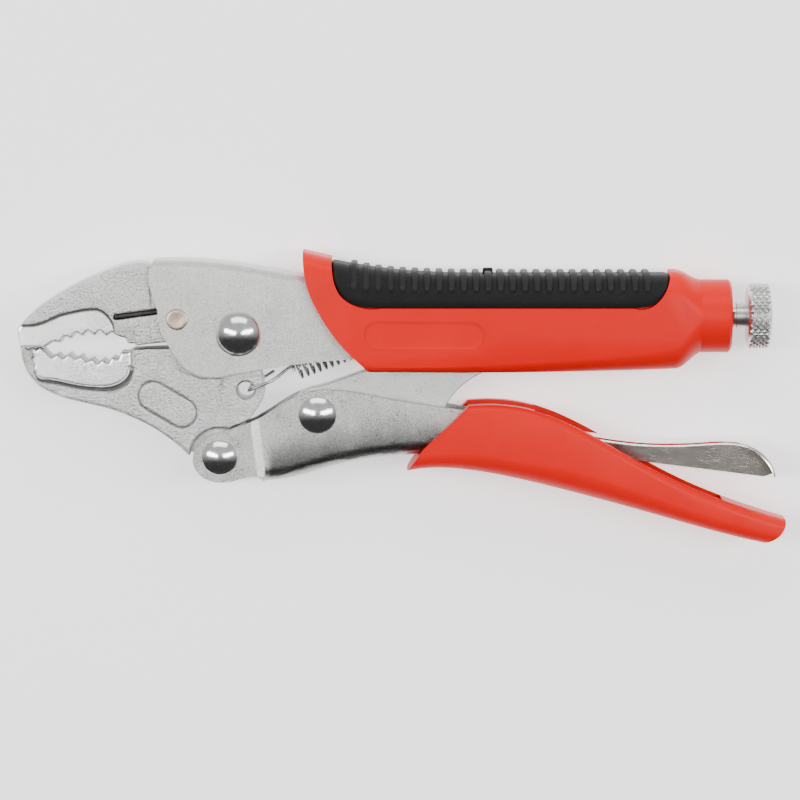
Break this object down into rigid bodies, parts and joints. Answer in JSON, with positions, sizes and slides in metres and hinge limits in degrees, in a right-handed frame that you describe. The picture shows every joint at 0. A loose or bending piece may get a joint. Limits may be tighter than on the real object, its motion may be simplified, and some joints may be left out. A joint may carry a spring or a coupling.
{
  "type": "locking pliers",
  "caption": "Curved-jaw locking pliers with toothed jaws, a wire-cutter slot, moulded grips, a toggle link, a release lever and a knurled adjusting screw.",
  "frame": {"origin": "bottom centre of the bounding box, with the tool lying on one side", "axes": "+X from the jaws to the adjusting knob, +Y from the lower handle to the upper one, +Z through the thickness"},
  "size_m": [0.2502, 0.0958, 0.0246],
  "materials": {
    "pressed_steel": "satin nickel plate over pressed steel",
    "forged_steel": "satin plate over a drop forging, ground flats",
    "rivet_steel": "polished dome",
    "brass": "dull, worn",
    "red_plastic": "semi-gloss moulded",
    "black_rubber": "matte moulded",
    "link_steel": "satin",
    "nickel": "polished nickel",
    "screw_steel": "bright plated",
    "spring_wire": "drawn wire"
  },
  "bodies": {
    "upper_handle": {"upper_channel": "pressed_steel", "upper_jaw": "forged_steel", "jaw_pin": "brass", "main_rivet": "rivet_steel", "upper_grip_shell": "red_plastic", "upper_grip_pad": "black_rubber", "end_nut": "screw_steel", "spring_anchor_pin": "rivet_steel", "tension_spring": "spring_wire"},
    "moving_jaw": {"lower_jaw": "forged_steel"},
    "lower_handle": {"lower_channel": "pressed_steel", "lower_grip": "red_plastic", "jaw_handle_rivet": "rivet_steel", "link_rivet": "rivet_steel", "lever_pin": "rivet_steel"},
    "link": {"toggle_link": "link_steel"},
    "lever": {"release_lever": "nickel"},
    "screw": {"adjusting_screw": "screw_steel"},
    "knob": {"adjusting_knob": "screw_steel"}
  },
  "joints": [
    {"name": "jaw_pivot", "type": "hinge", "parent": "upper_handle", "child": "moving_jaw", "pos_m": [-0.05325, 0.02122, 0.0125], "axis": [0, 0, 1], "range_deg": [0, 17.5], "deforming": ["tension_spring"]},
    {"name": "handle_pivot", "type": "hinge", "parent": "moving_jaw", "child": "lower_handle", "pos_m": [-0.05955, -0.01938, 0.0125], "axis": [0, 0, 1], "range_deg": [-60, 0]},
    {"name": "link_pivot", "type": "hinge", "parent": "lower_handle", "child": "link", "pos_m": [-0.02765, -0.00518, 0.0125], "axis": [0, 0, 1], "range_deg": [0, 63]},
    {"name": "lever_pivot", "type": "hinge", "parent": "lower_handle", "child": "lever", "pos_m": [0.04675, -0.01478, 0.0125], "axis": [0, 0, 1], "range_deg": [-5, 0]},
    {"name": "screw_feed", "type": "slide", "parent": "upper_handle", "child": "screw", "axis": [1, 0, 0], "range_m": [0, 0.015]},
    {"name": "knob_turn", "type": "hinge", "parent": "screw", "child": "knob", "pos_m": [0.11175, 0.02632, 0.0125], "axis": [1, 0, 0], "range_deg": [0, 3401.59]}
  ],
  "couplings": [
    {"joint": "jaw_pivot", "follows": "handle_pivot", "ratio": -0.29167},
    {"joint": "link_pivot", "follows": "handle_pivot", "ratio": -1.05},
    {"joint": "knob_turn", "follows": "screw_feed", "rad_per_m": 3957.9}
  ]
}
